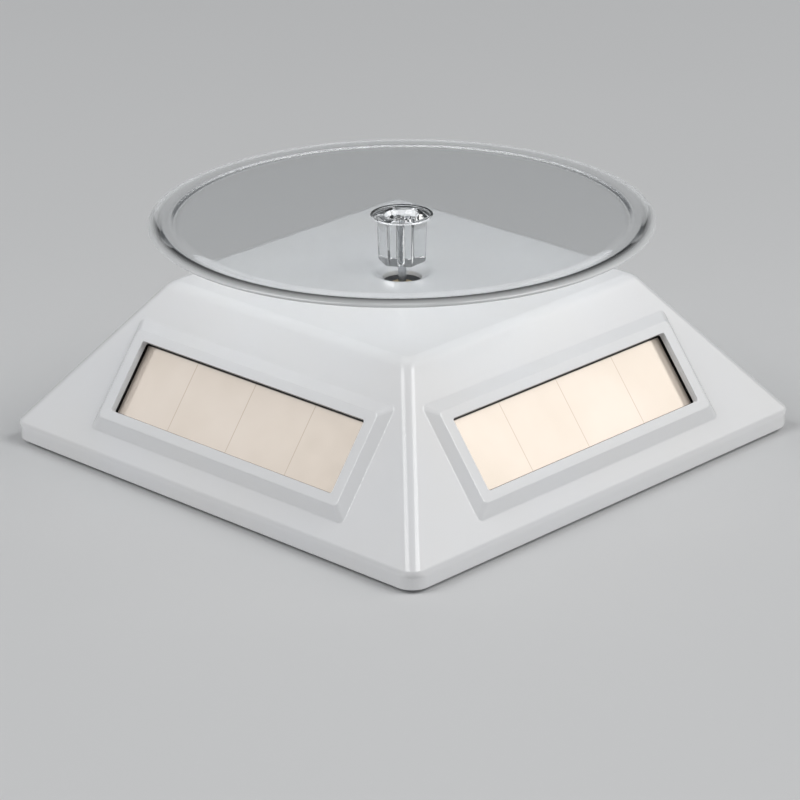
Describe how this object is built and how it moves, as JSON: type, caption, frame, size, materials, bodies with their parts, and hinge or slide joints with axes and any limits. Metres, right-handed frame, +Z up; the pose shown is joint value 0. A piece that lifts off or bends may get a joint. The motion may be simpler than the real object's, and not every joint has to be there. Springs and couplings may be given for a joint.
{
  "type": "turntable display stand",
  "caption": "Low square stand with sloping sides, a solar panel in each side, and a slow motor that turns a clear round plate. The plate lifts off its shaft.",
  "frame": {"origin": "middle of the square base, on the surface that the stand's feet rest on", "axes": "+Z up along the plate's turning axis; the base's sides run along X and Y, front is -Y and right is +X"},
  "size_m": [0.11, 0.11, 0.0463],
  "materials": {
    "white_gloss": "glossy moulded white",
    "white_satin": "fine satin moulded white",
    "clear_plastic": "clear polished",
    "solar_panel": "glass front over a thin coated layer",
    "foot_rubber": "matt",
    "steel": "bright turned",
    "plated_steel": "bright plated",
    "brass": "satin",
    "copper_winding": "enamelled winding",
    "ferrite": "matt sintered",
    "black_plastic": "satin moulded",
    "circuit_board": "solder mask",
    "battery_jacket": "printed film jacket",
    "lead_cover": "soft vinyl"
  },
  "bodies": {
    "base": {"base_plate": "white_satin", "base_screw_1": "steel", "base_screw_2": "steel", "base_screw_3": "steel", "base_screw_4": "steel", "battery": "battery_jacket", "battery_lead_minus": "lead_cover", "battery_lead_plus": "lead_cover", "battery_spring": "plated_steel", "blocking_diode": "black_plastic", "brush_holder": "black_plastic", "brush_left": "brass", "brush_right": "brass", "cell_lead_back": "lead_cover", "cell_lead_front": "lead_cover", "cell_lead_left": "lead_cover", "cell_lead_right": "lead_cover", "circuit_board": "circuit_board", "foot_1": "foot_rubber", "foot_2": "foot_rubber", "foot_3": "foot_rubber", "foot_4": "foot_rubber", "lower_bush": "brass", "lower_yoke": "plated_steel", "magnet_ring": "ferrite", "motor_case": "black_plastic", "motor_cover": "black_plastic", "motor_lead": "lead_cover", "motor_screw_1": "steel", "motor_screw_2": "steel", "motor_screw_3": "steel", "negative_contact": "plated_steel", "positive_contact": "plated_steel", "shell": "white_gloss", "solar_cell_back": "solar_panel", "solar_cell_front": "solar_panel", "solar_cell_left": "solar_panel", "solar_cell_right": "solar_panel", "switch_board": "circuit_board", "switch_housing": "plated_steel", "switch_lead": "lead_cover", "upper_bush": "brass", "upper_yoke": "plated_steel"},
    "rotor": {"motor_shaft": "steel", "rotor_disc": "black_plastic", "rotor_coil_1": "copper_winding", "rotor_coil_2": "copper_winding", "rotor_coil_3": "copper_winding", "commutator": "brass"},
    "turntable": {"display_plate": "clear_plastic", "hub_socket": "clear_plastic"},
    "door": {"battery_door": "white_satin"},
    "knob": {"switch_knob": "black_plastic"}
  },
  "joints": [
    {"name": "turntable_spin", "type": "hinge", "parent": "base", "child": "rotor", "pos_m": [0, 0, 0.03], "axis": [0, 0, 1], "continuous": true},
    {"name": "plate_lift", "type": "slide", "parent": "rotor", "child": "turntable", "axis": [0, 0, 1], "range_m": [0, 0.009]},
    {"name": "battery_door_slide", "type": "slide", "parent": "base", "child": "door", "axis": [1, 0, 0], "range_m": [0, 0.008]},
    {"name": "power_switch", "type": "slide", "parent": "base", "child": "knob", "axis": [1, 0, 0], "range_m": [0, 0.002]}
  ]
}
